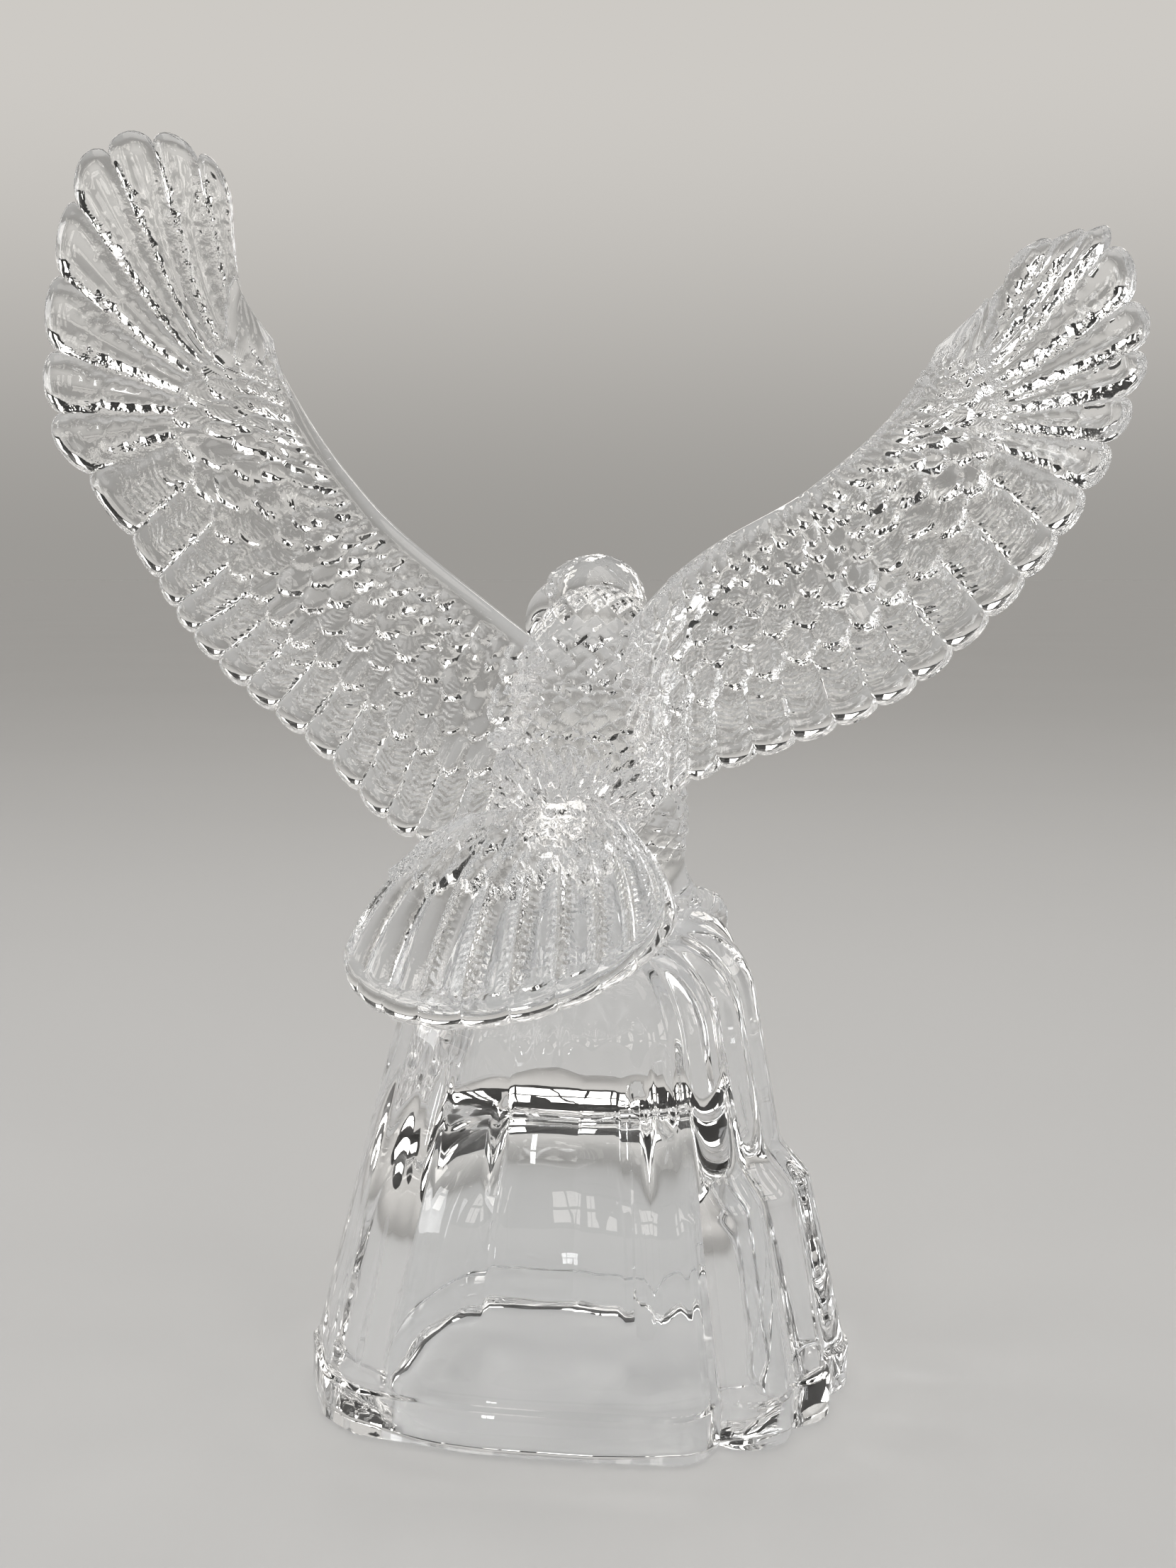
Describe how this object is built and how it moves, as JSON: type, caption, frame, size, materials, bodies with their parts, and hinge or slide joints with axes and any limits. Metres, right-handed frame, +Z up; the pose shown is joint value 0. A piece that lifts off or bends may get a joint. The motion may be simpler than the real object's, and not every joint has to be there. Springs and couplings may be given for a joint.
{
  "type": "crystal eagle statue",
  "caption": "Clear crystal eagle with raised wings and fanned tail, perched on a tall fluted rock that is hollow underneath.",
  "frame": {"origin": "middle of the object's box, at its underside", "axes": "+Z up, the eagle faces -Y with its tail towards +Y, and its left wing is towards +X"},
  "size_m": [0.2206, 0.0958, 0.265],
  "materials": {
    "crystal": "polished clear crystal"
  },
  "bodies": {
    "root": {"crystal_eagle": "crystal"}
  },
  "joints": []
}
